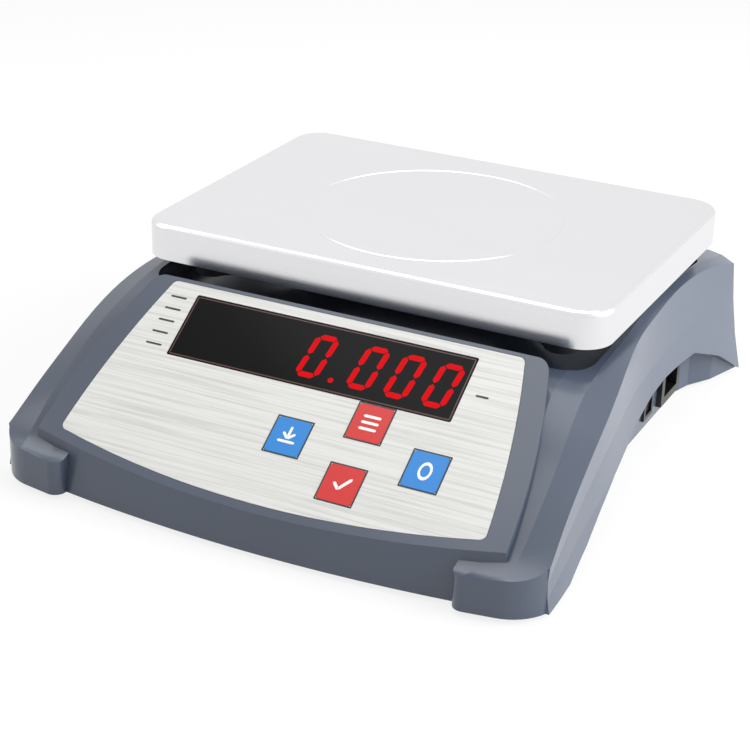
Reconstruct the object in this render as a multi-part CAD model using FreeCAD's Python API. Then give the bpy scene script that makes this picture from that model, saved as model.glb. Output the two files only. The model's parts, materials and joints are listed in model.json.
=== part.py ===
import FreeCAD, Part
import math
import os

from FreeCAD import Vector

# Counting scale. X runs across, the front is at -Y, Z is up. The origin is on the ground, at the
# middle of the scale's plan. All dimensions are in millimetres.

# --- driving dimensions -------------------------------------------------------------------------
BODY_FRONT = -185.5         # lower edge of the front wall, on the centre line
BODY_REAR = 185.5           # lower edge of the rear wall
BODY_BOTTOM = 3.0           # the rubber feet stand 3 mm below the housing
WALL = 2.6                  # moulded wall of both housings
FLOOR_TOP = 5.8             # upper face of the bottom housing's floor
GAP = 0.3                   # working clearance between pieces that move or lift out

PAN_WIDTH = 300.0
PAN_DEPTH = 214.0
PAN_Y = 53.5                # centre of the weighing pan
PAN_TOP = 124.0
PAN_SKIRT = 22.0
PAN_SHEET = 0.9
PAN_CORNER = 19.0
RING_RADIUS = 81.0          # embossed ring in the pan

PANEL_Y = -116.5            # a point of the sloping control panel
PANEL_Z = 68.95
PANEL_SLOPE = 33.7          # degrees
PANEL_BACK = -69.5          # rear edge of the raised console

WINDOW_LEFT = -94.0         # display window, in panel coordinates
WINDOW_RIGHT = 88.0
WINDOW_LOW = 4.2
WINDOW_HIGH = 47.5

KEY_WIDTH = 21.2
KEY_HEIGHT = 22.6
KEY_CENTRE = (44.5, -28.3)  # middle of the diamond of four keys
KEY_PITCH = (42.0, 20.1)    # half diagonals of the diamond
KEY_TRAVEL = 0.5
SWITCH_TOP = -4.4           # top of the key switches, along the panel's normal

WELL_HALF_WIDTH = 143.0     # recess of the top housing under the pan
WELL_FRONT = -57.0
WELL_REAR = 154.0
WELL_FLOOR = 78.0

GRIP_WALL = 140.0           # inner wall of the hand grips, from the centre plane
FOOT_SPOTS = ((-140, -150), (140, -150), (-132, 160), (132, 160))
FOOT_NAMES = ("front_left", "front_right", "rear_left", "rear_right")
CELL_Y = PAN_Y              # the load cell lies across the scale, under the middle of the pan

# Stations of the housing, front to rear: y, deck half width, deck z, ridge x, ridge z, bottom x.
STATIONS = (
    (-192, 126, 27.0, 171.0, 27.0, 171.5),
    (-168, 135, 29.0, 170.5, 28.5, 171.5),
    (-150, 138, 42.0, 169.0, 39.0, 171.0),
    (-120, 138, 62.0, 167.0, 55.5, 169.0),
    (-90, 134, 80.0, 165.5, 70.0, 167.5),
    (-60, 132, 89.0, 163.0, 81.5, 166.5),
    (-30, 136, 91.0, 158.5, 88.5, 165.5),
    (20, 138, 91.5, 151.0, 90.0, 165.0),
    (70, 138, 91.5, 148.2, 90.5, 165.0),
    (120, 138, 91.0, 149.7, 89.5, 165.0),
    (155, 138, 88.0, 153.3, 84.0, 165.0),
    (192, 138, 82.0, 157.5, 73.0, 165.0),
)

# Parting line of the two housings in side view (y, z): level at the front, up the flank to the
# grip, over the grip as a flat S and down to the rear corner.
PARTING = ((-200, 14.5), (-163, 15.5), (-57, 31.5), (-10, 34), (30, 42), (58, 53), (84, 52),
           (113, 43), (135, 33), (158, 20), (178, 12), (200, 11))

# Hand grip, cut from below: its roof in side view and its inner wall in plan.
GRIP_ROOF = ((-140, -2), (-131, 3), (-101, 11), (-77, 21), (-51, 30), (-25, 36.5), (0, 42),
             (27, 45.3), (54, 46), (84, 44), (108, 41.5), (150, 24), (184, 3), (190, -2))
GRIP_PLAN = ((185, -165), (168, -140), (GRIP_WALL, -50), (GRIP_WALL, 126), (144, 140),
             (154, 157), (163.5, 186), (185, 195))


# --- small tools --------------------------------------------------------------------------------
def box(x0, x1, y0, y1, z0, z1):
    return Part.makeBox(x1 - x0, y1 - y0, z1 - z0, Vector(x0, y0, z0))


def rod(x, y, z0, z1, diameter):
    return Part.makeCylinder(diameter / 2, z1 - z0, Vector(x, y, z0))


def fused(shapes):
    shapes = list(shapes)
    return shapes[0].multiFuse(shapes[1:]).removeSplitter()


def mirrored(shape):
    return shape.mirror(Vector(0, 0, 0), Vector(1, 0, 0))


def plate(x, y, width, depth, radius, z0, z1):
    """Rectangular plate with rounded corners, seen from above."""
    body = box(x - width / 2, x + width / 2, y - depth / 2, y + depth / 2, z0, z1)
    corners = [edge for edge in body.Edges if abs(edge.tangentAt(edge.FirstParameter).z) > 0.9]
    return body.makeFillet(radius, corners)


def prism_up(points, z0, z1):
    """Polygon in plan, raised from z0 to z1."""
    wire = Part.makePolygon([Vector(x, y, z0) for x, y in points] + [Vector(*points[0], z0)])
    return Part.Face(wire).extrude(Vector(0, 0, z1 - z0))


def prism_across(points, x0, x1):
    """Polygon in side view (y, z), carried across from x0 to x1."""
    wire = Part.makePolygon([Vector(x0, y, z) for y, z in points] + [Vector(x0, *points[0])])
    return Part.Face(wire).extrude(Vector(x1 - x0, 0, 0))


def on_panel(shape):
    """Move a shape from panel coordinates (across, up the slope, outwards) to the scale's."""
    turn = FreeCAD.Rotation(Vector(1, 0, 0), PANEL_SLOPE)
    shape.Placement = FreeCAD.Placement(Vector(0, PANEL_Y, PANEL_Z), turn).multiply(shape.Placement)
    return shape


def save(name, shape):
    shape.exportStep("parts/" + name + ".step")


# --- outer form of the two housings -------------------------------------------------------------
def station_section(station, inset):
    """One cross-section of the housing; inset moves it inwards by a wall thickness."""
    y, deck_x, deck_z, ridge_x, ridge_z, bottom_x = station
    bottom_z = FLOOR_TOP if inset else BODY_BOTTOM
    drop = ridge_z - BODY_BOTTOM
    waist = 0.8 + 0.012 * drop          # the flank is slightly hollow
    side = [
        (deck_x - 0.3 * inset, deck_z - inset),
        ((deck_x + ridge_x) / 2 - 0.7 * inset, (deck_z + ridge_z) / 2 + 1.4 - inset),
        (ridge_x - inset, ridge_z - inset),
        (ridge_x + (bottom_x - ridge_x) / 3 - waist - inset, ridge_z - drop / 3),
        (ridge_x + (bottom_x - ridge_x) / 1.5 - waist - inset, ridge_z - drop / 1.5),
        (bottom_x - inset, bottom_z),
    ]
    ring = side + [(-x, z) for x, z in reversed(side)]
    points = [Vector(x, y, z) for x, z in ring]
    return Part.makePolygon(points + points[:1])


def front_block(inset):
    """The drafted, bowed front wall between the feet, and all that is behind it."""
    def outline(z, apex):
        ends = 150 - inset
        bow = 12.5
        left, right = Vector(-ends, apex + bow, z), Vector(ends, apex + bow, z)
        arc = Part.Arc(left, Vector(0, apex, z), right).toShape()
        back = Part.makePolygon([right, Vector(ends, 0, z), Vector(-ends, 0, z), left])
        return Part.Wire([arc] + back.Edges)
    draft = 0.174
    low, high = -7.0, 103.0
    apex = BODY_FRONT + inset
    return Part.makeLoft([outline(low, apex - draft * (BODY_BOTTOM - low)),
                          outline(high, apex + draft * (high - BODY_BOTTOM))], True, True)


def front_foot_block(inset):
    """Plan of one front corner, which stands 6 mm proud of the front wall."""
    inner = Vector(122.5, -100, -10)
    corner = Vector(122.5, -178.5, -10)
    toe = Vector(130, -184.5, -10)
    flat = Vector(148, -181.5, -10)
    outer = Vector(171.6, -158, -10)
    back = Vector(172, -100, -10)
    edges = [
        Part.makeLine(inner, corner),
        Part.Arc(corner, Vector(124.6, -182.7, -10), toe).toShape(),
        Part.makeLine(toe, flat),
        Part.Arc(flat, Vector(164.5, -172.5, -10), outer).toShape(),
        Part.makeLine(outer, back),
        Part.makeLine(back, inner),
    ]
    wire = Part.Wire(edges)
    if inset:
        wire = wire.makeOffset2D(-inset)
    return Part.Face(wire).extrude(Vector(0, 0, 120))


def housing_form(inset=0.0):
    """Solid outer form of the closed housing, or of its cavity when inset is the wall."""
    loft = Part.makeLoft([station_section(station, inset) for station in STATIONS], True, False)
    foot = front_foot_block(inset)
    middle = box(-175, 175, -165, BODY_REAR - inset, -10, 130)
    plan = front_block(inset).fuse([foot, mirrored(foot), middle])
    lean = prism_across(((BODY_REAR - inset, BODY_BOTTOM), (BODY_REAR - 9.5 - inset, 97),
                         (260, 97), (260, -10), (BODY_REAR + 1.3 - inset, -10)), -180, 180)
    return loft.common(plan).cut(lean)


def below_parting():
    spine = Part.BSplineCurve()
    spine.interpolate([Vector(-200, y, z) for y, z in PARTING])
    start, end = spine.StartPoint, spine.EndPoint
    low_end, low_start = Vector(-200, end.y, -20), Vector(-200, start.y, -20)
    rest = Part.makePolygon([end, low_end, low_start, start])
    face = Part.Face(Part.Wire([spine.toShape()] + rest.Edges))
    return face.extrude(Vector(400, 0, 0))


def grip_void(grow=0.0):
    """The space under one hand grip; grow swells it by the wall of the pocket behind it."""
    roof = Part.makePolygon([Vector(100, y, z) for y, z in GRIP_ROOF + GRIP_ROOF[:1]])
    plan = Part.makePolygon([Vector(x, y, -10) for x, y in GRIP_PLAN + GRIP_PLAN[:1]])
    if grow:
        roof = roof.makeOffset2D(grow, 2)
        plan = plan.makeOffset2D(grow, 2)
    arch = Part.Face(roof).extrude(Vector(120, 0, 0))
    return arch.common(Part.Face(plan).extrude(Vector(0, 0, 90)))


# --- raised console with the sloping panel ------------------------------------------------------
def console_plan(inset, z0, z1):
    """Console seen from above: bowed sides and front, square rear edge with round corners."""
    def at(x, y):
        return Vector(x, y, z0)
    half_back, half_front = 128.5 - inset, 147.0 - inset
    back, front = PANEL_BACK - inset, -171.3
    apex = BODY_FRONT - 4 + inset
    rear = 8.0
    edges = [
        Part.makeLine(at(-half_back + rear, back), at(half_back - rear, back)),
        Part.Arc(at(half_back - rear, back), at(half_back - 2.3, back - 2.6),
                 at(half_back + 0.7, back - rear)).toShape(),
        Part.Arc(at(half_back + 0.7, back - rear), at(141.3 - inset, -120),
                 at(half_front, front)).toShape(),
        Part.Arc(at(half_front, front), at(0, apex), at(-half_front, front)).toShape(),
        Part.Arc(at(-half_front, front), at(-141.3 + inset, -120),
                 at(-half_back - 0.7, back - rear)).toShape(),
        Part.Arc(at(-half_back - 0.7, back - rear), at(-half_back + 2.3, back - 2.6),
                 at(-half_back + rear, back)).toShape(),
    ]
    return Part.Face(Part.Wire(edges)).extrude(Vector(0, 0, z1 - z0))


def above_panel(offset):
    """Everything outside the panel plane, offset along its normal."""
    return on_panel(box(-200, 200, -140, 140, offset, 160))


def label_outline(inset, low, high):
    """The faceplate's outline in panel coordinates, from low to high along the normal."""
    def at(x, v):
        return Vector(x, v, low)
    top, bottom = 54.0 - inset, -58.0
    edges = [
        Part.makeLine(at(-113 + inset, top), at(113 - inset, top)),
        Part.Arc(at(113 - inset, top), at(127 - inset, -6), at(133.5 - inset, bottom)).toShape(),
        Part.Arc(at(133.5 - inset, bottom), at(0, -73 + inset), at(-133.5 + inset, bottom)).toShape(),
        Part.Arc(at(-133.5 + inset, bottom), at(-127 + inset, -6), at(-113 + inset, top)).toShape(),
    ]
    body = Part.Face(Part.Wire(edges)).extrude(Vector(0, 0, high - low))
    corners = [edge for edge in body.Edges if abs(edge.tangentAt(edge.FirstParameter).z) > 0.9]
    return body.makeFillet(4.0, corners)


def panel_plate(u0, u1, v0, v1, radius, low, high):
    """Rounded plate in panel coordinates, already placed on the panel."""
    return on_panel(plate((u0 + u1) / 2, (v0 + v1) / 2, u1 - u0, v1 - v0, radius, low, high))


def key_centres():
    u, v = KEY_CENTRE
    du, dv = KEY_PITCH
    return {"tare": (u - du, v), "mode": (u, v + dv), "set": (u, v - dv), "zero": (u + du, v)}


def key_plate(centre, grow, radius, low, high):
    u, v = centre
    half_u, half_v = KEY_WIDTH / 2 + grow, KEY_HEIGHT / 2 + grow
    return panel_plate(u - half_u, u + half_u, v - half_v, v + half_v, radius, low, high)


# --- fixing points ------------------------------------------------------------------------------
BATTERY_X, BATTERY_Y = -54.0, 122.0
SCREW_SPOTS = ((-104, -158), (104, -158), (-122, -20), (122, -20), (-112, 171), (112, 171))
BOSS_JOINT = 12.0           # height where the bosses of the two housings meet
BOARD_SPOTS = ((-62, -52), (62, -52), (-62, 12), (62, 12))
CELL_HOLES = (-56, -40, 40, 56)     # bolt holes of the load cell, along X
FRAME_SPOTS = ((-92, 36), (92, 36), (-92, 71), (92, 71))
TRANSFORMER_SPOTS = ((34, 132), (102, 132))
CLAMP_SPOTS = ((BATTERY_X - 59, BATTERY_Y), (BATTERY_X + 59, BATTERY_Y))
POST_TOP = 11.0             # posts that carry the board, the cell's frame and the transformer
LEDGE_TOP = 7.4             # ledge round the battery opening


def top_housing(form, cavity, below):
    """Upper shell: rails, ridge and flanks, console with its openings, and the well of the pan."""
    console = console_plan(0, 16, 125).cut(above_panel(0)).common(front_block(0))
    console_void = console_plan(WALL, 0, 125).cut(above_panel(-WALL)).common(front_block(WALL))
    crown = console_plan(0, -20, 140).common(above_panel(0))
    form = form.cut(crown).fuse(console)
    shell = form.cut([cavity, console_void])
    well_centre = (WELL_FRONT + WELL_REAR) / 2
    width, depth = 2 * WELL_HALF_WIDTH, WELL_REAR - WELL_FRONT
    liner = plate(0, well_centre, width + 2 * WALL, depth + 2 * WALL, 18 + WALL,
                  WELL_FLOOR - WALL, 120).common(form)
    well = plate(0, well_centre, width, depth, 18, WELL_FLOOR, 130)
    bosses = [rod(x, y, BOSS_JOINT, 120, 9).common(form) for x, y in SCREW_SPOTS]
    shell = shell.cut(below).fuse([liner] + bosses).cut(well)
    # Grips on both sides, screw holes and the opening for the pan support.
    void = grip_void()
    shell = shell.cut([void, mirrored(void)])
    shell = shell.cut([rod(x, y, 0, 30, 4.2) for x, y in SCREW_SPOTS])
    shell = shell.cut(plate(50, CELL_Y, 48, 48, 6, 60, 100))
    shell = shell.cut(rod(-110, 120, 60, 100, 21))
    # Faceplate recess, window opening, and key wells with a hole for each plunger.
    shell = shell.cut(on_panel(label_outline(-0.2, -0.6, 30)))
    shell = shell.cut(panel_plate(WINDOW_LEFT - 0.3, WINDOW_RIGHT + 0.3, WINDOW_LOW - 0.3,
                                  WINDOW_HIGH + 0.3, 1.2, -1.7, 30))
    shell = shell.cut(panel_plate(WINDOW_LEFT + 4, WINDOW_RIGHT - 4, WINDOW_LOW + 3,
                                  WINDOW_HIGH - 3, 2, -10, 30))
    for centre in key_centres().values():
        shell = shell.cut(key_plate(centre, GAP, 2.3, -1.9, 30))
        shell = shell.cut(on_panel(rod(*centre, -10, 5, 6.6)))
    return largest(shell)


def largest(shape):
    """Keep the main solid; thin offcuts of the trimming are dropped."""
    return max(shape.Solids, key=lambda solid: solid.Volume)


def bottom_housing(form, cavity, below):
    """Lower tray: floor, low walls, the pockets of both hand grips, bosses and foot cups."""
    tray = form.cut(cavity).common(below)
    void = grip_void()
    tray = tray.cut([void, mirrored(void)])
    pocket = grip_void(WALL).cut(void).common(cavity)
    bosses = [rod(x, y, 4, BOSS_JOINT, 9) for x, y in SCREW_SPOTS]
    cups = [rod(x, y, 4, 14, 32).fuse(rod(x, y, 4, 26, 15)).common(form) for x, y in FOOT_SPOTS]
    post_spots = BOARD_SPOTS + FRAME_SPOTS + TRANSFORMER_SPOTS
    posts = [rod(x, y, 5, POST_TOP, 8) for x, y in post_spots]
    tray = tray.fuse([pocket, mirrored(pocket)] + bosses + cups + posts)
    tray = tray.cut([rod(x, y, 0, 11.5, 26) for x, y in FOOT_SPOTS])
    tray = tray.cut([rod(x, y, 0, 40, 12.2) for x, y in FOOT_SPOTS])
    tray = tray.cut([rod(x, y, 0, 7, 8.6).fuse(rod(x, y, 0, 13, 4.2)) for x, y in SCREW_SPOTS])
    tray = tray.cut([rod(x, y, 6.5, 20, 2.7) for x, y in post_spots])
    tray = tray.cut(plate(BATTERY_X, BATTERY_Y, 120.6, 80.6, 4, 0, 12))
    ledge = plate(BATTERY_X, BATTERY_Y, 126, 84, 4, 4.6, LEDGE_TOP)
    tray = tray.fuse(ledge.cut(plate(BATTERY_X, BATTERY_Y, 112, 72, 3, 0, 12)))
    tray = tray.cut([rod(x, y, 5.1, 12, 2.7) for x, y in CLAMP_SPOTS])
    tray = tray.cut(inlet_opening())
    return largest(tray)


# --- pan and its support ------------------------------------------------------------------------
def weighing_pan():
    """Drawn stainless tray: flat top with a ring, rounded rim and a straight skirt."""
    z0 = PAN_TOP - PAN_SKIRT
    outer = plate(0, PAN_Y, PAN_WIDTH, PAN_DEPTH, PAN_CORNER, z0, PAN_TOP)
    rim = [edge for edge in outer.Edges if edge.BoundBox.ZMin > PAN_TOP - 0.1]
    outer = outer.makeFillet(3.2, rim)
    inner = plate(0, PAN_Y, PAN_WIDTH - 2 * PAN_SHEET, PAN_DEPTH - 2 * PAN_SHEET,
                  PAN_CORNER - PAN_SHEET, z0 - 5, PAN_TOP - PAN_SHEET)
    rim = [edge for edge in inner.Edges if edge.BoundBox.ZMin > PAN_TOP - PAN_SHEET - 0.1]
    inner = inner.makeFillet(2.4, rim)
    pan = outer.cut(inner)
    ring = Part.makeTorus(RING_RADIUS, 3.0, Vector(0, PAN_Y - 4, PAN_TOP + 2.65))
    return pan.cut(ring)


def pan_spider():
    """Cast cross frame: a post that stands on the load cell, a hub and four arms."""
    under = PAN_TOP - PAN_SHEET
    hub = plate(0, PAN_Y, 150, 74, 8, 88, 94)
    post = plate(50, CELL_Y, 38, 34, 4, 50, 90)
    arms = []
    for side_x in (-1, 1):
        for side_y in (-1, 1):
            x0, y0 = side_x * 55, PAN_Y + side_y * 24
            x1, y1 = side_x * 116, PAN_Y + side_y * 78
            length = math.hypot(x1 - x0, y1 - y0)
            bar = box(0, length, -9, 9, 88, 94).fuse(box(0, length, -2, 2, 93, 104))
            bar.rotate(Vector(0, 0, 0), Vector(0, 0, 1), math.degrees(math.atan2(y1 - y0, x1 - x0)))
            bar.translate(Vector(x0, y0, 0))
            arms += [bar, rod(x1, y1, 88, under - 6, 20)]
    spider = fused([hub, post] + arms)
    spider = spider.cut([rod(x, CELL_Y, 49, 100, 6.4) for x in CELL_HOLES if x > 0])
    spider = spider.cut([rod(x, CELL_Y, 60, 100, 11.5) for x in CELL_HOLES if x > 0])
    return spider.cut([rod(x, y, under - 12, under, 8.4) for x, y in stud_spots()])


def stud_spots():
    return [(sx * 116, PAN_Y + sy * 78) for sx in (-1, 1) for sy in (-1, 1)]


def pan_studs():
    """Four rubber buffers pressed into the spider; the pan rests on their heads."""
    under = PAN_TOP - PAN_SHEET
    return Part.makeCompound([rod(x, y, under - 11, under - 5.9, 8).fuse(rod(x, y, under - 6, under, 16))
                              for x, y in stud_spots()])


# --- load cell and its frame --------------------------------------------------------------------
def load_cell():
    """Single-point aluminium cell 150 x 30 x 22 with the two bored thin sections."""
    body = box(-70, 70, CELL_Y - 15, CELL_Y + 15, 24, 46)
    bores = [(x, z) for x in (-13, 13) for z in (31.5, 38.5)]
    across = [Part.makeCylinder(4.4, 60, Vector(x, CELL_Y - 30, z), Vector(0, 1, 0)) for x, z in bores]
    slot = box(-13, 13, CELL_Y - 30, CELL_Y + 30, 33.4, 36.6)
    body = body.cut(across + [slot])
    return body.cut([rod(x, CELL_Y, 20, 50, 6.4) for x in CELL_HOLES])


def cell_spacer(x0, x1, z0, z1):
    block = box(x0, x1, CELL_Y - 15, CELL_Y + 15, z0, z1)
    return block.cut([rod(x, CELL_Y, z0 - 1, z1 + 1, 6.4) for x in CELL_HOLES if x0 < x < x1])


def socket_screw(x, y, head_z, tip_z, shank, head, head_height):
    """Cap screw, head up when head_z is above tip_z, with a hexagon socket in the head."""
    way = 1 if head_z > tip_z else -1
    base = head_z if way > 0 else head_z - head_height
    body = rod(x, y, min(head_z, tip_z), max(head_z, tip_z), shank)
    body = body.fuse(rod(x, y, base, base + head_height, head))
    depth = head_height * 0.55
    sink = base + head_height - depth if way > 0 else base
    return body.cut(Part.Face(hexagon(x, y, sink, head * 0.26)).extrude(Vector(0, 0, depth)))


def hexagon(x, y, z, radius):
    corners = [Vector(x + radius * math.cos(math.radians(60 * k)),
                      y + radius * math.sin(math.radians(60 * k)), z) for k in range(7)]
    return Part.makePolygon(corners)


def base_frame():
    """Folded steel channel that carries the load cell and stands on the tray's posts."""
    web = box(-100, 100, CELL_Y - 28, CELL_Y + 28, 11, 14)
    flanges = [box(-100, 100, CELL_Y + y, CELL_Y + y + 2.5, 11, 22) for y in (-28, 25.5)]
    body = fused([web] + flanges)
    body = body.cut([rod(x, y, 0, 30, 3.4) for x, y in FRAME_SPOTS])
    body = body.cut([rod(x, CELL_Y, 0, 30, 6.4) for x in CELL_HOLES if x < 0])
    return body.cut(rod(48, CELL_Y, 0, 30, 6.2))


def cell_bolts(lower):
    if lower:
        spots = [x for x in CELL_HOLES if x < 0]
        return Part.makeCompound([socket_screw(x, CELL_Y, 11, 40, 6, 10, 4.5) for x in spots])
    spots = [x for x in CELL_HOLES if x > 0]
    return Part.makeCompound([socket_screw(x, CELL_Y, 60, 30, 6, 10, 6) for x in spots])


def overload_stop():
    """Stop screw with a lock nut, 0.8 mm under the free end of the load cell."""
    screw = rod(48, CELL_Y, 9, 23.2, 6)
    nut = Part.Face(hexagon(48, CELL_Y, 14, 5.8)).extrude(Vector(0, 0, 4.5))
    return screw.fuse(nut)


def frame_screws():
    return Part.makeCompound([rod(x, y, 6.8, 14, 2.6).fuse(rod(x, y, 14, 16, 6)) for x, y in FRAME_SPOTS])


# --- control panel pieces -----------------------------------------------------------------------
def faceplate_label():
    """Printed polycarbonate sheet with openings for the window and the four keys."""
    body = on_panel(label_outline(0.1, -0.6, 0.1))
    body = body.cut(panel_plate(WINDOW_LEFT - 0.1, WINDOW_RIGHT + 0.1, WINDOW_LOW - 0.1,
                                WINDOW_HIGH + 0.1, 1.2, -3, 3))
    for centre in key_centres().values():
        body = body.cut(key_plate(centre, GAP, 2.3, -3, 3))
    return body


def display_window():
    return panel_plate(WINDOW_LEFT, WINDOW_RIGHT, WINDOW_LOW, WINDOW_HIGH, 1.0, -1.7, -0.1)


def key(centre):
    """Flat key cap with a plunger that reaches through the console to its switch."""
    cap = key_plate(centre, 0, 2.0, -1.2, 0.3)
    plunger = on_panel(rod(*centre, SWITCH_TOP + KEY_TRAVEL + 0.1, -1.1, 5.4))
    return cap.fuse(plunger)


BOARD_W = -9.0              # upper face of the display board, along the panel's normal


def display_board():
    """Circuit board behind the panel; it carries the digits and the key switches."""
    body = panel_plate(-98.5, 98.5, -62, 45.5, 2, BOARD_W - 1.6, BOARD_W)
    return body.cut([on_panel(rod(u, v, BOARD_W - 3, BOARD_W + 1, 3.4)) for u, v in panel_posts()])


def panel_posts():
    return [(u, v) for u in (-94, 94) for v in (-57, 40)]


def panel_post_screws():
    """Spacer studs between console and display board, with their screws."""
    studs = []
    for u, v in panel_posts():
        stud = rod(u, v, BOARD_W, -2.6, 6)
        screw = rod(u, v, BOARD_W - 1.6, BOARD_W + 0.2, 3).fuse(rod(u, v, BOARD_W - 3.4, BOARD_W - 1.6, 5.5))
        studs.append(on_panel(stud.fuse(screw)))
    return Part.makeCompound(studs)


DIGIT_U = (-16.5, 15.5, 43.5, 70.0)


def digit_modules():
    """Four seven-segment modules side by side behind the window."""
    return Part.makeCompound([panel_plate(u - 12.4, u + 12.4, 7.6, 44.0, 0.5, BOARD_W, -2.2)
                              for u in DIGIT_U])


def indicator_lamps():
    lamps = []
    for k in range(5):
        base = rod(-84, 10.5 + 7.7 * k, BOARD_W, -5.0, 3.0)
        lamps.append(on_panel(base.fuse(Part.makeSphere(1.5, Vector(-84, 10.5 + 7.7 * k, -5.0)))))
    return Part.makeCompound(lamps)


def key_switches():
    """Tact switches on the display board, one under each key."""
    parts = []
    for u, v in key_centres().values():
        body = box(u - 3, u + 3, v - 3, v + 3, BOARD_W, SWITCH_TOP - 1.2)
        parts.append(on_panel(body.fuse(rod(u, v, SWITCH_TOP - 1.3, SWITCH_TOP, 3.5))))
    return Part.makeCompound(parts)


# --- electronics and power ----------------------------------------------------------------------
def main_board():
    body = plate(0, -20, 134, 74, 3, 11, 12.6)
    return body.cut([rod(x, y, 5, 20, 3.2) for x, y in BOARD_SPOTS])


def board_parts():
    """Microcontroller, shielded converter, regulator, capacitors and connectors."""
    z = 12.6
    parts = [
        box(-12, 2, -30, -16, z, z + 1.8),
        box(20, 50, -14, 8, z, z + 5),
        box(-50, -40, 0, 10, z, z + 4.5),
        box(-56, -40, -48, -42, z, z + 6),
        box(-14, 14, -53, -47, z, z + 6),
        box(30, 46, -48, -42, z, z + 6),
    ]
    parts += [rod(x, -8, z, z + 13, 8) for x in (-34, -24)]
    parts += [rod(x, 8, z, z + 9, 6.3) for x in (-10, 0, 10)]
    return Part.makeCompound(parts)


def board_screws():
    return Part.makeCompound([rod(x, y, 6.8, 12.6, 2.6).fuse(rod(x, y, 12.6, 14.6, 5.6))
                              for x, y in BOARD_SPOTS])


BATTERY_LOW, BATTERY_HIGH = 7.5, 54.5


def battery():
    """Sealed 6 V lead-acid block, lying on its side over the battery door."""
    return plate(BATTERY_X, BATTERY_Y, 100, 66, 2.5, BATTERY_LOW, BATTERY_HIGH)


def battery_terminals():
    end = BATTERY_X + 50
    return Part.makeCompound([box(end, end + 8, y - 2.4, y + 2.4, 45, 45.8) for y in (102, 142)])


def battery_clamp():
    """Sheet steel strap along the top of the battery, with a foot on the ledge at each end."""
    sheet, half = 1.2, 8.0
    x0, x1 = BATTERY_X - 51.4, BATTERY_X + 51.4
    strap = box(x0, x1, BATTERY_Y - half, BATTERY_Y + half, BATTERY_HIGH, BATTERY_HIGH + sheet)
    legs = [box(x, x + sheet, BATTERY_Y - half, BATTERY_Y + half, LEDGE_TOP, BATTERY_HIGH + sheet)
            for x in (x0, x1 - sheet)]
    toes = [box(x, x + 11, BATTERY_Y - half, BATTERY_Y + half, LEDGE_TOP, LEDGE_TOP + sheet)
            for x in (x0 - 11 + sheet, x1 - sheet)]
    strap = fused([strap] + legs + toes)
    return strap.cut([rod(x, y, LEDGE_TOP - 1, LEDGE_TOP + 4, 3.2) for x, y in CLAMP_SPOTS])


def battery_clamp_screws():
    seat = LEDGE_TOP + 1.2
    return Part.makeCompound([rod(x, y, 5.4, seat, 2.6).fuse(rod(x, y, seat, seat + 1.8, 5.4))
                              for x, y in CLAMP_SPOTS])


def battery_door():
    """Cover in the underside that closes the battery opening."""
    door = plate(BATTERY_X, BATTERY_Y, 119.6, 79.6, 3.6, BODY_BOTTOM, 4.5)
    grip = box(BATTERY_X - 12, BATTERY_X + 12, 84.5, 87.5, BODY_BOTTOM - 1, BODY_BOTTOM + 0.8)
    return door.cut(grip)


CORE_LOW, CORE_HIGH = FLOOR_TOP, FLOOR_TOP + 40.0


def transformer_core():
    """Laminated E-I core with its two windows."""
    core = box(44, 92, 112, 152, CORE_LOW, CORE_HIGH)
    low, high = CORE_LOW + 8, CORE_HIGH - 8
    return core.cut([box(52, 62, 100, 160, low, high), box(74, 84, 100, 160, low, high)])


def transformer_coil():
    low, high = CORE_LOW + 8.2, CORE_HIGH - 8.2
    coil = plate(68, 132, 31.4, 52, 5, low, high)
    return coil.cut(box(62, 74, 111, 153, low - 1, high + 1))


def transformer_bracket():
    """Sheet steel saddle over the core; its toes are screwed to two posts."""
    sheet = 1.5
    strap = box(40, 96, 118, 146, CORE_HIGH, CORE_HIGH + sheet)
    legs = [box(x, x + sheet, 118, 146, POST_TOP, CORE_HIGH + sheet) for x in (42, 92.5)]
    toes = [box(x, x + 14, 118, 146, POST_TOP, POST_TOP + sheet) for x in (29.5, 92.5)]
    saddle = fused([strap.common(box(42, 94, 100, 160, 0, 60))] + legs + toes)
    return saddle.cut([rod(x, y, POST_TOP - 1, POST_TOP + 3, 3.2) for x, y in TRANSFORMER_SPOTS])


def transformer_screws():
    seat = POST_TOP + 1.5
    return Part.makeCompound([rod(x, y, 6.8, seat, 2.6).fuse(rod(x, y, seat, seat + 2, 6))
                              for x, y in TRANSFORMER_SPOTS])


# --- power inlet and switch in the right hand grip ----------------------------------------------
INLET = (88.0, 122.0, 8.5, 34.5)        # y0, y1, z0, z1 of the inlet's flange
SWITCH = (60.0, 76.0, 10.0, 31.5)       # y0, y1, z0, z1 of the rocker's bezel


def inlet_opening():
    y0, y1, z0, z1 = INLET
    s0, s1, t0, t1 = SWITCH
    return box(110, GRIP_WALL + 1, y0 + 2.5, y1 - 2.5, z0 + 2.5, z1 - 2.5).fuse(
        box(110, GRIP_WALL + 1, s0 + 1.2, s1 - 1.2, t0 + 1.2, t1 - 1.2))


def power_inlet():
    """Appliance inlet: flange on the grip wall, hollow socket and a closed back."""
    y0, y1, z0, z1 = INLET
    flange = box(GRIP_WALL, GRIP_WALL + 3.5, y0, y1, z0, z1)
    shell = box(119, GRIP_WALL + 0.5, y0 + 2.8, y1 - 2.8, z0 + 2.8, z1 - 2.8)
    socket = box(122, GRIP_WALL + 5, y0 + 5.2, y1 - 5.2, z0 + 5.2, z1 - 5.2)
    pins = [box(110, 122.5, y - 1.3, y + 1.3, z - 2.2, z + 2.2) for y, z in inlet_pin_spots()]
    return flange.fuse(shell).cut([socket] + pins)


def inlet_pin_spots():
    y0, y1, z0, z1 = INLET
    middle, level = (y0 + y1) / 2, (z0 + z1) / 2
    return [(middle - 7, level - 2), (middle, level + 2), (middle + 7, level - 2)]


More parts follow.
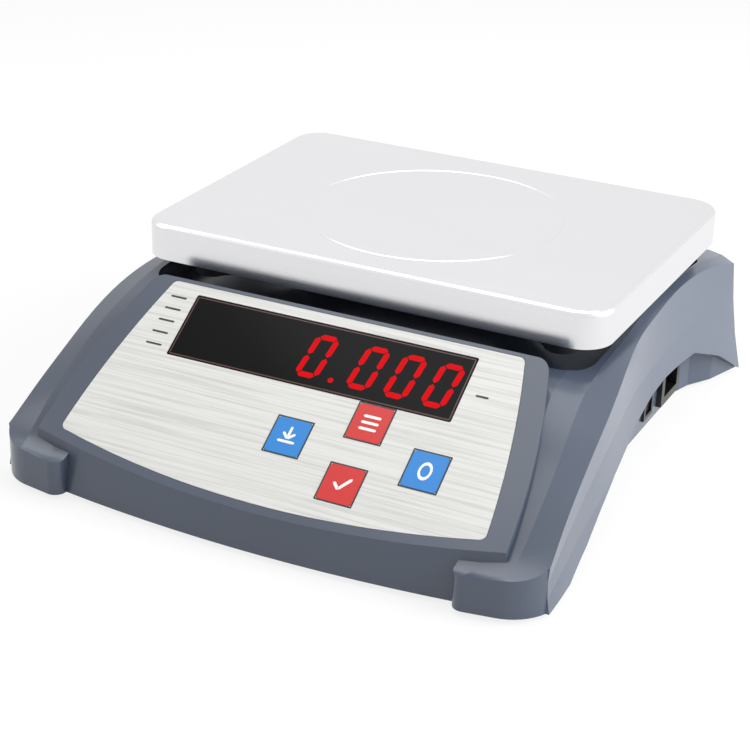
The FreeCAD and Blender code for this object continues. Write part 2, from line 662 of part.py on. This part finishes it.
def inlet_pins():
    return Part.makeCompound([box(113, 137, y - 1.2, y + 1.2, z - 2, z + 2)
                              for y, z in inlet_pin_spots()])


def rocker_frame():
    """Snap-in body of the on/off switch, open at the front for the rocker."""
    y0, y1, z0, z1 = SWITCH
    bezel = box(GRIP_WALL, GRIP_WALL + 2, y0, y1, z0, z1)
    body = box(124, GRIP_WALL + 0.5, y0 + 1.5, y1 - 1.5, z0 + 1.5, z1 - 1.5)
    mouth = box(127, GRIP_WALL + 5, y0 + 2.6, y1 - 2.6, z0 + 2.6, z1 - 2.6)
    return bezel.fuse(body).cut(mouth)


ROCKER_TILT = 10.0          # degrees each side of level


def rocker_paddle():
    """Rocker with two sloping faces, drawn in its off position."""
    y0, y1, z0, z1 = SWITCH
    level = (z0 + z1) / 2
    x = GRIP_WALL
    profile = [(x - 7, level - 4), (x - 2.5, level - 7.4), (x + 1.6, level - 7.2), (x + 0.6, level),
               (x + 1.6, level + 7.2), (x - 2.5, level + 7.4), (x - 7, level + 4)]
    points = [Vector(px, y0 + 3.1, pz) for px, pz in profile]
    body = Part.Face(Part.makePolygon(points + points[:1])).extrude(Vector(0, y1 - y0 - 6.2, 0))
    body.rotate(Vector(x - 3, 0, level), Vector(0, 1, 0), ROCKER_TILT)
    return body


# --- feet, screws, vial, wires ------------------------------------------------------------------
def foot_pad(x, y):
    """Rubber foot with a moulded-in steel washer bore for the stud."""
    body = rod(x, y, 0, 7, 22)
    rim = [edge for edge in body.Edges if edge.BoundBox.ZMax < 0.1 and edge.Closed]
    body = body.makeFillet(1.2, rim)
    return body.cut(rod(x, y, 3, 8, 8.6))


def foot_stud(x, y):
    """M8 adjusting stud; its collar rests on the pad."""
    shank = rod(x, y, 3.3, 31, 8)
    collar = Part.Face(hexagon(x, y, 7.3, 7.2)).extrude(Vector(0, 0, 3.2))
    return shank.fuse(collar)


def foot_inserts():
    """Threaded brass inserts in the tray for the four studs."""
    return Part.makeCompound([rod(x, y, 13, 24, 12.2).cut(rod(x, y, 12, 25, 8.6)) for x, y in FOOT_SPOTS])


def housing_screws():
    """Six pan-head screws from below that clamp the two housings."""
    screws = []
    for x, y in SCREW_SPOTS:
        body = rod(x, y, 4.4, 7.0, 7.6).fuse(rod(x, y, 6.9, 25, 4))
        cross = box(x - 2, x + 2, y - 0.5, y + 0.5, 4, 5.4).fuse(box(x - 0.5, x + 0.5, y - 2, y + 2, 4, 5.4))
        screws.append(body.cut(cross))
    return Part.makeCompound(screws)


def level_vial():
    """Round spirit level set in the floor of the well."""
    cup = rod(-110, 120, 74, 81, 20.6).fuse(rod(-110, 120, WELL_FLOOR, 81, 24))
    return cup.cut(rod(-110, 120, 76, 82, 17))


def level_vial_lens():
    return rod(-110, 120, 76, 80.6, 17)


def tube(points, diameter):
    """Wire along straight runs joined by round bends."""
    points = [Vector(*point) for point in points]
    edges = []
    start = points[0]
    for before, corner, after in zip(points, points[1:], points[2:]):
        enter, leave = (before - corner).normalize(), (after - corner).normalize()
        run = min((before - corner).Length, (after - corner).Length)
        cut = 0.42 * run
        first, last = corner + enter * cut, corner + leave * cut
        half = enter.getAngle(leave) / 2
        radius = cut * math.tan(half)
        bisector = (enter + leave).normalize()
        middle = corner + bisector * (radius / math.sin(half) - radius)
        edges.append(Part.makeLine(start, first))
        edges.append(Part.Arc(first, middle, last).toShape())
        start = last
    edges.append(Part.makeLine(start, points[-1]))
    way = (points[1] - points[0]).normalize()
    circle = Part.Wire(Part.makeCircle(diameter / 2, points[0], way))
    return Part.Wire(edges).makePipeShell([circle], True, False)


def cell_cable():
    """Screened cable from the load cell's side to the converter on the main board."""
    side = CELL_Y - 15
    return tube([(0, side, 42), (0, side - 9, 42), (0, side - 17, 32), (14, 20, 23), (32, 13, 14.8)], 4)


def battery_leads():
    """Pair of leads from the battery to the main board."""
    leads = [tube([(-4, y, 46.9), (6, y, 47), (16, y - 10, 52), (12 + k, 88, 58), (0 + k, 62, 58),
                   (-34 - k, 34, 56), (-45 - k, 8, 36), (-47 - k, -18, 24), (-47 - k, -45, 20)], 2)
             for k, y in ((0, 102), (4, 142))]
    return Part.makeCompound(leads)


def ribbon_cable():
    """Flat cable from the main board up to the display board."""
    side = ((-47, 18.7), (-47, 24), (-74, 46), (-86, 60), (-86, 61), (-73, 47), (-46, 24.5), (-46, 18.7))
    return prism_across(side, -12, 12)


def mains_leads():
    """Leads from the inlet through the switch to the transformer."""
    return Part.makeCompound([
        tube([(112.6, 112, 19.5), (107, 112, 20), (100, 104, 26), (86, 98, 30), (74, 98.5, 30),
              (70, 105.6, 29)], 2.2),
        tube([(112.6, 98, 19.5), (107, 98, 20), (103, 90, 24), (103, 76, 24), (110, 68.5, 21),
              (123.6, 68, 20)], 2.2),
    ])


def build():
    os.makedirs("parts", exist_ok=True)
    form = housing_form()
    cavity = housing_form(WALL)
    below = below_parting()
    save("top_housing", top_housing(form, cavity, below))
    save("bottom_housing", bottom_housing(form, cavity, below))
    save("weighing_pan", weighing_pan())
    save("pan_spider", pan_spider())
    save("pan_studs", pan_studs())
    save("load_cell", load_cell())
    save("load_cell_spacer_lower", cell_spacer(-68, -28, 14, 24))
    save("load_cell_spacer_upper", cell_spacer(31, 69, 46, 50))
    save("load_cell_bolts_lower", cell_bolts(True))
    save("load_cell_bolts_upper", cell_bolts(False))
    save("base_frame", base_frame())
    save("base_frame_screws", frame_screws())
    save("overload_stop_screw", overload_stop())
    save("faceplate_label", faceplate_label())
    save("display_window", display_window())
    for name, centre in key_centres().items():
        save("key_" + name, key(centre))
    save("display_board", display_board())
    save("display_board_posts", panel_post_screws())
    save("digit_modules", digit_modules())
    save("indicator_lamps", indicator_lamps())
    save("key_switches", key_switches())
    save("main_board", main_board())
    save("main_board_parts", board_parts())
    save("main_board_screws", board_screws())
    save("battery", battery())
    save("battery_terminals", battery_terminals())
    save("battery_clamp", battery_clamp())
    save("battery_door", battery_door())
    save("battery_clamp_screws", battery_clamp_screws())
    save("transformer_core", transformer_core())
    save("transformer_coil", transformer_coil())
    save("transformer_bracket", transformer_bracket())
    save("transformer_screws", transformer_screws())
    save("power_inlet", power_inlet())
    save("power_inlet_pins", inlet_pins())
    save("switch_body", rocker_frame())
    save("switch_rocker", rocker_paddle())
    for name, (x, y) in zip(FOOT_NAMES, FOOT_SPOTS):
        save("foot_pad_" + name, foot_pad(x, y))
        save("foot_stud_" + name, foot_stud(x, y))
    save("foot_inserts", foot_inserts())
    save("housing_screws", housing_screws())
    save("level_vial_cup", level_vial())
    save("level_vial_lens", level_vial_lens())
    save("load_cell_cable", cell_cable())
    save("battery_leads", battery_leads())
    save("display_ribbon", ribbon_cable())
    save("mains_leads", mains_leads())


build()
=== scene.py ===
import json
import math

import bpy
from mathutils import Matrix, Vector


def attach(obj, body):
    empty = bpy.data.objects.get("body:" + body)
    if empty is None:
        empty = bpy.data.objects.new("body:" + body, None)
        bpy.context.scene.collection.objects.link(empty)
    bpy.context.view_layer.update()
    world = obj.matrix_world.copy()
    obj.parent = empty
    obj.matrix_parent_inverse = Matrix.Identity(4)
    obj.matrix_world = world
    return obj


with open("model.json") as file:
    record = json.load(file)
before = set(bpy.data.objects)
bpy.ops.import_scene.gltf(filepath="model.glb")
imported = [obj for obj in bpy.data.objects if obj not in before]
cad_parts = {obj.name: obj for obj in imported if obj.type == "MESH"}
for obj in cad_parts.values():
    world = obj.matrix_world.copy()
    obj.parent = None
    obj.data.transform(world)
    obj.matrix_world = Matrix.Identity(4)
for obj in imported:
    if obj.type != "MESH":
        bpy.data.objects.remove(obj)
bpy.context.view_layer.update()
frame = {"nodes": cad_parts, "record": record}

nodes = frame["nodes"]
MM = 0.001

# Camera. The scale is seen from its front right and a little from above, through a long lens
# and with a slight roll, as a product is framed on a table.
AZIMUTH, ELEVATION, ROLL = (math.radians(angle) for angle in (26.37, 24.93, 1.43))
AIM = Vector((75.1, -180.4, 124.0)) * MM
DISTANCE = 961 * MM
FOCAL_LENGTH = 91.4                    # in millimetres, as the camera setting is
back = Vector((math.sin(AZIMUTH) * math.cos(ELEVATION), -math.cos(AZIMUTH) * math.cos(ELEVATION),
               math.sin(ELEVATION)))
level_right = (-back).cross(Vector((0, 0, 1))).normalized()
level_up = level_right.cross(-back)
right = math.cos(ROLL) * level_right + math.sin(ROLL) * level_up
up = -math.sin(ROLL) * level_right + math.cos(ROLL) * level_up
camera_data = bpy.data.cameras.new("camera")
camera_data.lens = FOCAL_LENGTH
camera = bpy.data.objects.new("camera", camera_data)
bpy.context.scene.collection.objects.link(camera)
camera.matrix_world = Matrix.Translation(AIM + back * DISTANCE) @ Matrix(
    (right, up, back)).transposed().to_4x4()
bpy.context.scene.camera = camera
bpy.context.scene.view_settings.view_transform = "Standard"


# Studio. A matt white table in a white room. The camera and mirror-like surfaces see both as
# white, and the table still takes a soft shadow. One large lamp hangs over the scale, a
# stronger one stands at its right and a weak one at its left.
def linear(colour):
    """An sRGB hex colour as linear RGBA."""
    channels = [int(colour[k:k + 2], 16) / 255 for k in (1, 3, 5)]
    return (*(c / 12.92 if c <= 0.04045 else ((c + 0.055) / 1.055) ** 2.4 for c in channels), 1.0)


def add_node(material, kind, settings=(), links=()):
    """Adds a shader node. A setting is one of the node's own or the value of an input."""
    made = material.node_tree.nodes.new(kind)
    for name, value in dict(settings).items():
        if hasattr(made, str(name)):
            setattr(made, name, value)
        else:
            made.inputs[name].default_value = value
    for name, socket in dict(links).items():
        material.node_tree.links.new(socket, made.inputs[name])
    return made


def new_material(name):
    """A material with an empty node tree."""
    material = bpy.data.materials.new(name)
    material.use_nodes = True
    material.node_tree.nodes.clear()
    return material


TABLE_GLOW = 0.82                      # how much of the seen table is white without its shadow
table_finish = new_material("matt white table")
path = add_node(table_finish, "ShaderNodeLightPath")
seen = add_node(table_finish, "ShaderNodeMath", {"operation": "MAXIMUM"},
                {0: path.outputs["Is Camera Ray"], 1: path.outputs["Is Glossy Ray"]})
seen = add_node(table_finish, "ShaderNodeMath", {"operation": "MAXIMUM"},
                {0: seen.outputs[0], 1: path.outputs["Is Transmission Ray"]})
glow = add_node(table_finish, "ShaderNodeEmission", {"Color": linear("#ffffff"), "Strength": 1.0})
matt = add_node(table_finish, "ShaderNodeBsdfDiffuse", {"Color": linear("#f2f2f2")})
share = add_node(table_finish, "ShaderNodeMath", {"operation": "MULTIPLY", 1: TABLE_GLOW},
                 {0: seen.outputs[0]})
mixed = add_node(table_finish, "ShaderNodeMixShader", {},
                 {0: share.outputs[0], 1: matt.outputs[0], 2: glow.outputs[0]})
add_node(table_finish, "ShaderNodeOutputMaterial", {}, {"Surface": mixed.outputs[0]})

TABLE_SIZE = 12                        # metres
bpy.ops.object.select_all(action="DESELECT")
bpy.ops.mesh.primitive_plane_add(size=TABLE_SIZE, location=(0, 0, 0))
table = bpy.context.object
table.name = "table"
table.data.materials.append(table_finish)

ROOM_LIGHT = 0.5                       # the room as a lamp; what is seen of it is 1
world = bpy.data.worlds.new("white room")
bpy.context.scene.world = world
world.use_nodes = True
world.node_tree.nodes.clear()
path = add_node(world, "ShaderNodeLightPath")
seen = add_node(world, "ShaderNodeMath", {"operation": "MAXIMUM"},
                {0: path.outputs["Is Camera Ray"], 1: path.outputs["Is Transmission Ray"]})
seen = add_node(world, "ShaderNodeMath", {"operation": "MAXIMUM"},
                {0: seen.outputs[0], 1: path.outputs["Is Glossy Ray"]})
strength = add_node(world, "ShaderNodeMapRange", {"To Min": ROOM_LIGHT, "To Max": 1.0},
                    {"Value": seen.outputs[0]})
room = add_node(world, "ShaderNodeBackground", {"Color": linear("#ffffff")},
                {"Strength": strength.outputs[0]})
add_node(world, "ShaderNodeOutputWorld", {}, {"Surface": room.outputs[0]})

LAMPS = (                              # name, place and size in metres, power in watts
    ("lamp_over", (-0.3, 0.3, 1.3), 1.2, 9.0),
    ("lamp_right", (1.1, 0.25, 0.6), 1.1, 24.0),
    ("lamp_left", (-1.1, -0.5, 0.8), 0.7, 2.5),
)
LIT = Vector((0, 0, 60)) * MM          # the lamps point at the middle of the scale
for name, place, size, watts in LAMPS:
    lamp_data = bpy.data.lights.new(name, "AREA")
    lamp_data.size = size
    lamp_data.energy = watts
    lamp = bpy.data.objects.new(name, lamp_data)
    bpy.context.scene.collection.objects.link(lamp)
    lamp.location = place
    lamp.rotation_mode = "QUATERNION"
    lamp.rotation_quaternion = (LIT - Vector(place)).to_track_quat("-Z", "Y")


# Housings. Two screwed shells and a battery door of ABS, injection-moulded in blue-grey. The
# fine satin skin gives soft highlights and hides small scratches.
DRIFT = 90                             # millimetres over which a moulding's tint varies


def moulded(name, colour, tint, roughness, grain, relief):
    """A moulded material: slow drift between two tints, and a skin of that grain and relief
    in millimetres that mottles its gloss."""
    material = new_material(name)
    place = add_node(material, "ShaderNodeTexCoord")
    drift = add_node(material, "ShaderNodeTexNoise", {"Scale": 1 / (DRIFT * MM), "Detail": 2.0},
                     {"Vector": place.outputs["Object"]})
    skin = add_node(material, "ShaderNodeTexNoise",
                    {"Scale": 1 / (grain * MM), "Detail": 3.0, "Roughness": 0.6},
                    {"Vector": place.outputs["Object"]})
    shade = add_node(material, "ShaderNodeMix",
                     {"data_type": "RGBA", 6: linear(colour), 7: linear(tint)},
                     {0: drift.outputs[0]})
    gloss = add_node(material, "ShaderNodeMapRange",
                     {"To Min": roughness - 0.05, "To Max": roughness + 0.06},
                     {"Value": skin.outputs[0]})
    bump = add_node(material, "ShaderNodeBump", {"Strength": 0.35, "Distance": relief * MM},
                    {"Height": skin.outputs[0]})
    surface = add_node(material, "ShaderNodeBsdfPrincipled", {"IOR": 1.53},
                       {"Base Color": shade.outputs[2], "Roughness": gloss.outputs[0],
                        "Normal": bump.outputs[0]})
    add_node(material, "ShaderNodeOutputMaterial", {}, {"Surface": surface.outputs[0]})
    return material


def dress(slot, material):
    """Gives the CAD nodes of one of the record's material slots their finish."""
    for part in frame["record"]["subparts"]:
        if part["material_slot"] == slot:
            nodes[part["node"]].data.materials.clear()
            nodes[part["node"]].data.materials.append(material)


dress("housing_abs",
      moulded("satin moulded ABS, blue-grey", "#4b5464", "#464e5d", 0.22, 1.1, 0.02))

# Pan. Drawn from stainless sheet, with its skirt folded down, and polished with a grain that
# runs across it. It rests loose on the buffers. Its top is bright and even.
PAN_LINES = (12, 900, 900)             # per metre; real ones are too fine to show
pan_finish = new_material("satin stainless sheet")
place = add_node(pan_finish, "ShaderNodeTexCoord")
stretch = add_node(pan_finish, "ShaderNodeMapping", {"Scale": PAN_LINES},
                   {"Vector": place.outputs["Object"]})
grain = add_node(pan_finish, "ShaderNodeTexNoise", {"Scale": 1.0, "Detail": 2.0},
                 {"Vector": stretch.outputs[0]})
gloss = add_node(pan_finish, "ShaderNodeMapRange", {"To Min": 0.16, "To Max": 0.30},
                 {"Value": grain.outputs[0]})
surface = add_node(pan_finish, "ShaderNodeBsdfPrincipled",
                   {"Base Color": linear("#e2e2e4"), "Metallic": 1.0},
                   {"Roughness": gloss.outputs[0]})
add_node(pan_finish, "ShaderNodeOutputMaterial", {}, {"Surface": surface.outputs[0]})
dress("stainless_pan", pan_finish)

# Pan support and feet. A die-cast cross, sprayed dark grey and bolted to the load cell, holds
# four rubber buffers under the pan. The pads of the four feet are the same black rubber.
dress("support_casting",
      moulded("sprayed casting, dark grey", "#26292e", "#2d3136", 0.45, 0.8, 0.05))
rubber_finish = moulded("black rubber", "#141516", "#1b1c1e", 0.68, 0.7, 0.04)
dress("buffer_rubber", rubber_finish)
dress("foot_rubber", rubber_finish)

# Faceplate. Polycarbonate film glued on the console's slope and printed silver-grey, with
# streaks across it like those of brushed metal.
SLOPE = math.radians(33.7)             # of the console's panel
FACE_STREAKS = (9, 520, 1)             # per metre across the panel, up it and into it
face_finish = new_material("printed film, brushed silver")
place = add_node(face_finish, "ShaderNodeTexCoord")
level = add_node(face_finish, "ShaderNodeMapping",
                 {"vector_type": "POINT", "Rotation": (-SLOPE, 0, 0)},
                 {"Vector": place.outputs["Object"]})
stretch = add_node(face_finish, "ShaderNodeMapping", {"Scale": FACE_STREAKS},
                   {"Vector": level.outputs[0]})
streak = add_node(face_finish, "ShaderNodeTexNoise",
                  {"Scale": 1.0, "Detail": 4.0, "Roughness": 0.65}, {"Vector": stretch.outputs[0]})
tone = add_node(face_finish, "ShaderNodeValToRGB", {}, {"Fac": streak.outputs[0]})
dark_tone, light_tone = tone.color_ramp.elements
dark_tone.position, dark_tone.color = 0.36, linear("#c4c4c0")
light_tone.position, light_tone.color = 0.56, linear("#d9d9d6")
surface = add_node(face_finish, "ShaderNodeBsdfPrincipled", {"Roughness": 0.42, "IOR": 1.58},
                   {"Base Color": tone.outputs[0]})
add_node(face_finish, "ShaderNodeOutputMaterial", {}, {"Surface": surface.outputs[0]})
dress("label_film", face_finish)

# Display window. A sheet of smoked acrylic, polished and glued in the console. It is almost
# black, and reflects little of the white room.
window_finish = new_material("polished smoked acrylic")
place = add_node(window_finish, "ShaderNodeTexCoord")
smoke = add_node(window_finish, "ShaderNodeTexNoise", {"Scale": 1 / (25 * MM), "Detail": 2.0},
                 {"Vector": place.outputs["Object"]})
shade = add_node(window_finish, "ShaderNodeMix",
                 {"data_type": "RGBA", 6: linear("#0c0d0e"), 7: linear("#121213")},
                 {0: smoke.outputs[0]})
surface = add_node(window_finish, "ShaderNodeBsdfPrincipled",
                   {"IOR": 1.49, "Specular IOR Level": 0.08, "Roughness": 0.15},
                   {"Base Color": shade.outputs[2]})
add_node(window_finish, "ShaderNodeOutputMaterial", {}, {"Surface": surface.outputs[0]})
dress("window_acrylic", window_finish)

# Keys. Moulded ABS caps that slide in the console over their switches, two blue and two red,
# with a soft gloss.
dress("key_blue", moulded("key plastic, blue", "#0a7fd0", "#0c7ac6", 0.32, 0.9, 0.01))
dress("key_red", moulded("key plastic, red", "#cc1710", "#c4150f", 0.32, 0.9, 0.01))

# Inlet, switch and level cup. Moulded black nylon, clipped in the housing. The parts on the
# boards are the same black.
nylon_finish = moulded("black nylon", "#0b0b0c", "#111112", 0.34, 0.8, 0.02)
for slot in ("inlet_plastic", "vial_cup", "component_black"):
    dress(slot, nylon_finish)


# Metal inside. Zinc-plated steel screws and sheet, the machined aluminium load cell and turned
# brass share fine tool marks, and differ in colour and polish.
def worked_metal(name, colour, tint, roughness, mark):
    """A metal whose colour and polish vary over marks of that size in millimetres."""
    material = new_material(name)
    place = add_node(material, "ShaderNodeTexCoord")
    marks = add_node(material, "ShaderNodeTexNoise", {"Scale": 1 / (mark * MM), "Detail": 4.0},
                     {"Vector": place.outputs["Object"]})
    shade = add_node(material, "ShaderNodeMix",
                     {"data_type": "RGBA", 6: linear(colour), 7: linear(tint)},
                     {0: marks.outputs[0]})
    gloss = add_node(material, "ShaderNodeMapRange",
                     {"To Min": roughness - 0.06, "To Max": roughness + 0.08},
                     {"Value": marks.outputs[0]})
    surface = add_node(material, "ShaderNodeBsdfPrincipled", {"Metallic": 1.0},
                       {"Base Color": shade.outputs[2], "Roughness": gloss.outputs[0]})
    add_node(material, "ShaderNodeOutputMaterial", {}, {"Surface": surface.outputs[0]})
    return material


zinc_finish = worked_metal("zinc-plated steel", "#b9bbb8", "#a3a7ab", 0.34, 2.0)
dress("zinc_steel", zinc_finish)
dress("frame_steel", zinc_finish)
dress("cell_aluminium", worked_metal("machined aluminium", "#c9cbce", "#b8babd", 0.30, 1.2))
brass_finish = worked_metal("turned brass", "#c9a45c", "#b58f49", 0.28, 1.5)
dress("brass_insert", brass_finish)
dress("inlet_brass", brass_finish)

# Electronics and level. Green boards, the battery's dark case, the transformer's laminated
# core and taped coil, red display parts, PVC wires, and the level's tinted liquid.
dress("board_laminate", moulded("circuit board", "#1d5a34", "#174c2c", 0.35, 3.0, 0.01))
dress("battery_case", moulded("battery case", "#2a2b2e", "#323338", 0.5, 1.5, 0.03))
dress("coil_tape", moulded("coil tape", "#d8b541", "#c9a436", 0.3, 4.0, 0.02))
dress("core_steel", worked_metal("core laminations", "#4c4e52", "#3a3c40", 0.5, 0.8))
dress("lamp_epoxy", moulded("red lamp epoxy", "#8a1512", "#7a100e", 0.15, 5.0, 0.0))
dress("digit_plastic", moulded("digit module", "#1a0a0a", "#200d0d", 0.25, 5.0, 0.0))
dress("vial_acrylic", moulded("vial liquid", "#b8d23c", "#a8c436", 0.08, 9.0, 0.0))
dress("wire_insulation", moulded("PVC wire", "#8c1a16", "#7d1613", 0.4, 1.0, 0.01))
dress("cable_jacket", moulded("PVC cable", "#2c2d30", "#35363a", 0.45, 1.0, 0.01))

# Digits. Four lit seven-segment figures, all zeros, and a decimal point. The real ones shine
# through the window. Here each bar is a thin strip with pointed ends that lies on it. The
# figures lean to the right, and their light varies a little, as it does through a diffuser.
PANEL = Matrix.Translation(Vector((0, -116.5, 68.95)) * MM) @ Matrix.Rotation(SLOPE, 4, "X")
FLAT = 0.06                            # thickness of a lit or printed bar
POINTED = 0.47                         # of a bar's width, cut off each corner to point its ends


def on_panel(x, y, height):
    """The place x across and y up the panel, and that height over it, in millimetres."""
    return PANEL @ Matrix.Translation(Vector((x, y, height)) * MM)


def finish_piece(piece, name, material, place, body):
    """Puts the place in the mesh, names the piece and rides it on its body."""
    piece.data.transform(place)
    piece.name = name
    piece.data.materials.clear()
    piece.data.materials.append(material)
    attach(piece, body)


def join(parts):
    """The parts as one object, with its place, turn and size in its mesh."""
    bpy.ops.object.select_all(action="DESELECT")
    for part in parts:
        part.select_set(True)
    bpy.context.view_layer.objects.active = parts[0]
    if len(parts) > 1:
        bpy.ops.object.join()
    bpy.ops.object.transform_apply()
    return bpy.context.object


def bar(x, y, length, width, thickness=FLAT, turn=0):
    """A flat strip with pointed ends, centred at x, y and turned from x by that angle."""
    bpy.ops.object.select_all(action="DESELECT")
    bpy.ops.mesh.primitive_cube_add(size=1)
    made = bpy.context.object
    made.scale = (length * MM, width * MM, thickness * MM)
    bpy.ops.object.transform_apply()
    bpy.ops.object.mode_set(mode="EDIT")
    bpy.ops.mesh.select_mode(type="EDGE")
    bpy.ops.mesh.select_all(action="DESELECT")
    bpy.ops.object.mode_set(mode="OBJECT")
    for edge in made.data.edges:       # the four upright edges
        start, end = (made.data.vertices[k].co for k in edge.vertices)
        edge.select = abs(start.z - end.z) > thickness * MM / 2
    bpy.ops.object.mode_set(mode="EDIT")
    bpy.ops.mesh.bevel(offset=width * MM * POINTED, segments=1)
    bpy.ops.object.mode_set(mode="OBJECT")
    made.rotation_euler = (0, 0, math.radians(turn))
    made.location = (x * MM, y * MM, 0)
    bpy.ops.object.transform_apply()
    return made


glow_finish = new_material("lit red display segments")
place = add_node(glow_finish, "ShaderNodeTexCoord")
spots = add_node(glow_finish, "ShaderNodeTexNoise", {"Scale": 1 / (2.5 * MM), "Detail": 1.0},
                 {"Vector": place.outputs["Object"]})
light = add_node(glow_finish, "ShaderNodeMapRange", {"To Min": 0.78, "To Max": 0.95},
                 {"Value": spots.outputs[0]})
surface = add_node(glow_finish, "ShaderNodeBsdfPrincipled",
                   {"Base Color": linear("#3a0003"), "Emission Color": linear("#e8000a"),
                    "Specular IOR Level": 0.05, "Roughness": 0.3},
                   {"Emission Strength": light.outputs[0]})
add_node(glow_finish, "ShaderNodeOutputMaterial", {}, {"Surface": surface.outputs[0]})

DIGIT_WIDTH, DIGIT_HEIGHT = 11.5, 26.2           # between the middles of the bars
DIGIT_BAR, DIGIT_GAP = 3.5, 1.0                  # a bar's width, and the gap between bars' ends
DIGIT_MIDDLE = 25.4                              # the figures' height on the panel
DIGIT_DEPTH = -FLAT                              # just over the window, which is lower than the film
DIGITS = {"units": -3.8, "tenths": 28.6, "hundredths": 51.6, "thousandths": 74.9}
LEAN = Matrix(((1, 0.12, 0, 0), (0, 1, 0, 0), (0, 0, 1, 0), (0, 0, 0, 1)))
for name, across in DIGITS.items():
    strips = [bar(0, y, DIGIT_WIDTH - DIGIT_GAP, DIGIT_BAR)
              for y in (-DIGIT_HEIGHT / 2, DIGIT_HEIGHT / 2)]
    strips += [bar(x, y, DIGIT_HEIGHT / 2 - DIGIT_GAP, DIGIT_BAR, turn=90)
               for x in (-DIGIT_WIDTH / 2, DIGIT_WIDTH / 2)
               for y in (-DIGIT_HEIGHT / 4, DIGIT_HEIGHT / 4)]
    finish_piece(join(strips), "digit_" + name, glow_finish,
                 on_panel(across, DIGIT_MIDDLE, DIGIT_DEPTH) @ LEAN, "housing")
POINT_X, POINT_Y, POINT_RADIUS = 10.5, 12.4, 1.7
bpy.ops.object.select_all(action="DESELECT")
bpy.ops.mesh.primitive_cylinder_add(vertices=24, radius=POINT_RADIUS * MM, depth=FLAT * MM)
finish_piece(bpy.context.object, "decimal_point", glow_finish,
             on_panel(POINT_X, POINT_Y, DIGIT_DEPTH), "housing")

# Key marks. Pictograms are printed on the caps in white ink, and an outline round each cap on
# the film in black ink. A pictogram rides with its key, and an outline stays on the film.
white_ink = moulded("white ink", "#f4f4f4", "#ececec", 0.4, 0.5, 0.0)
black_ink = moulded("black ink", "#17181a", "#1d1e20", 0.4, 0.5, 0.0)
KEYS_X, KEYS_Y = 44.5, -28.3                     # the middle of the diamond of keys
KEY_STEP_X, KEY_STEP_Y = 42.0, 20.1
KEYS = {"tare": (-1, 0), "mode": (0, 1), "set": (0, -1), "zero": (1, 0)}
MARK_HEIGHT, OUTLINE_HEIGHT = 0.34, 0.14         # just over the caps, and just over the film
MARK, OUTLINE = 0.1, 0.08                        # thickness of each, more than real ink has
OUTLINE_X, OUTLINE_Y = 11.1, 11.8                # from the key's middle to the outline's
OUTLINE_WIDTH, OUTLINE_LENGTH, OUTLINE_BAR = 23.2, 24.4, 0.9
for name, (across, along) in KEYS.items():
    if name == "tare":                           # an arrow down to a line
        marks = [bar(0, -3.4, 11, 1.6, MARK), bar(0, 2.6, 8, 1.6, MARK, 90),
                 bar(-1.9, 0.4, 5.5, 1.6, MARK, -45), bar(1.9, 0.4, 5.5, 1.6, MARK, 45)]
    elif name == "mode":                         # a list
        marks = [bar(0, y, 11, 1.7, MARK) for y in (-4, 0, 4)]
    elif name == "set":                          # a tick
        marks = [bar(-2.4, -1.4, 6, 1.8, MARK, -45), bar(2.2, 0.6, 10, 1.8, MARK, 52)]
    else:                                        # a nought
        bpy.ops.object.select_all(action="DESELECT")
        bpy.ops.mesh.primitive_torus_add(major_radius=4.2 * MM, minor_radius=0.9 * MM,
                                         major_segments=40, minor_segments=8)
        bpy.context.object.scale = (0.78, 1.12, 0.06)
        marks = [bpy.context.object]
    x, y = KEYS_X + across * KEY_STEP_X, KEYS_Y + along * KEY_STEP_Y
    finish_piece(join(marks), "key_mark_" + name, white_ink, on_panel(x, y, MARK_HEIGHT),
                 name + "_key")
    sides = [bar(0, side, OUTLINE_WIDTH, OUTLINE_BAR, OUTLINE)
             for side in (-OUTLINE_Y, OUTLINE_Y)]
    sides += [bar(side, 0, OUTLINE_LENGTH, OUTLINE_BAR, OUTLINE, 90)
              for side in (-OUTLINE_X, OUTLINE_X)]
    finish_piece(join(sides), "key_outline_" + name, black_ink, on_panel(x, y, OUTLINE_HEIGHT),
                 "housing")

# Faceplate marks. Five dashes beside the window and one at its right are printed on the film
# in black ink, where a maker's legends would be.
DASHES_X, DASHES_Y = -105, (9, 17.5, 26, 34.5, 43)
DASH_LENGTH, DASH_BAR, DASH_HEIGHT = 11, 1.3, 0.13
dashes = [bar(DASHES_X, y, DASH_LENGTH, DASH_BAR) for y in DASHES_Y]
dashes.append(bar(99, 24, 8, DASH_BAR))          # the one at the right is shorter
finish_piece(join(dashes), "lamp_marks", black_ink, on_panel(0, 0, DASH_HEIGHT), "housing")

# Window line. A thin dark red line printed round the acrylic, a little inside its edge. It
# lies on the window, as the digits do.
LINE_LEFT, LINE_RIGHT, LINE_LOW, LINE_HIGH = -92.6, 86.6, 5.6, 46.1
LINE_MIDDLE_X, LINE_MIDDLE_Y = -3, 25.8
LINE_WIDTH, LINE_HEIGHT, LINE_BAR = 180, 41, 0.7
line_finish = moulded("dark red window line", "#4a0d12", "#420b10", 0.3, 0.8, 0.0)
lines = [bar(LINE_MIDDLE_X, y, LINE_WIDTH, LINE_BAR) for y in (LINE_LOW, LINE_HIGH)]
lines += [bar(x, LINE_MIDDLE_Y, LINE_HEIGHT, LINE_BAR, turn=90) for x in (LINE_LEFT, LINE_RIGHT)]
finish_piece(join(lines), "window_line", line_finish, on_panel(0, 0, -FLAT), "housing")
